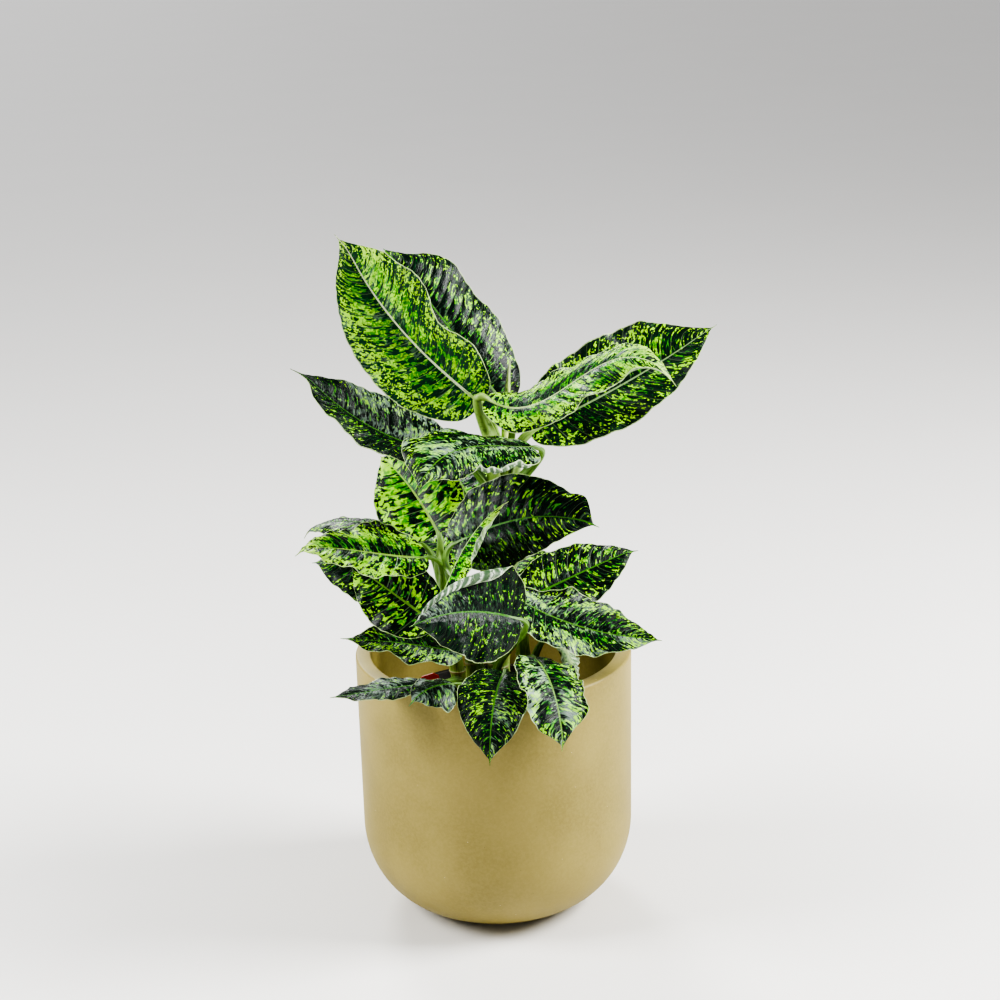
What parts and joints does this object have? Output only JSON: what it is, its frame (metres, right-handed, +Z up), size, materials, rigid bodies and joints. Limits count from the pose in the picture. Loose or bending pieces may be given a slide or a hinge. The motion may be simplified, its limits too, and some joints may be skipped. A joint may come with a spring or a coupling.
{
  "type": "potted dieffenbachia",
  "caption": "Potted dieffenbachia: a leafy cane plant with lime-speckled dark green blades, in soil in a round-bottomed planter.",
  "frame": {"origin": "centre of the planter's flat base, on the surface that it stands on", "axes": "+Z up, the viewer of the picture on the -Y side, +X to the viewer's right"},
  "size_m": [0.3683, 0.3346, 0.615],
  "materials": {
    "planter": "matt, olive sand, with fine pale and dark specks",
    "nursery_pot": "thin black plastic",
    "soil": null,
    "plant_tag": "plain red plastic strip",
    "cane": "smooth green stem with pale rings at the old leaf nodes",
    "leaf": null,
    "new_leaf": null
  },
  "bodies": {
    "root": {"planter": "planter", "nursery_pot": "nursery_pot", "soil": "soil", "plant_tag": "plant_tag", "cane_tall": "cane", "cane_left": "cane", "cane_middle": "cane", "cane_right": "cane", "cane_front": "cane", "cane_back": "cane", "leaf_new_rolled": "new_leaf", "leaf_top_left": "leaf", "leaf_top_behind": "leaf", "leaf_top_right_back": "leaf", "leaf_top_right_front": "leaf", "leaf_top_left_low": "leaf", "leaf_top_near": "leaf", "leaf_left_upright": "leaf", "leaf_left_long": "leaf", "leaf_left_back": "leaf", "leaf_left_under": "leaf", "leaf_left_low": "leaf", "leaf_middle_upper": "leaf", "leaf_middle_folded": "leaf", "leaf_middle_near": "leaf", "leaf_right_upper": "leaf", "leaf_right_lower": "leaf", "leaf_right_hanging": "leaf", "leaf_rim_left": "leaf", "leaf_rim_left_low": "leaf", "leaf_rim_front_left": "leaf", "leaf_rim_front": "leaf", "leaf_rim_front_right": "leaf", "leaf_back_high": "leaf", "leaf_back_right": "leaf", "leaf_back_left": "leaf", "leaf_back_low": "leaf"}
  },
  "joints": []
}
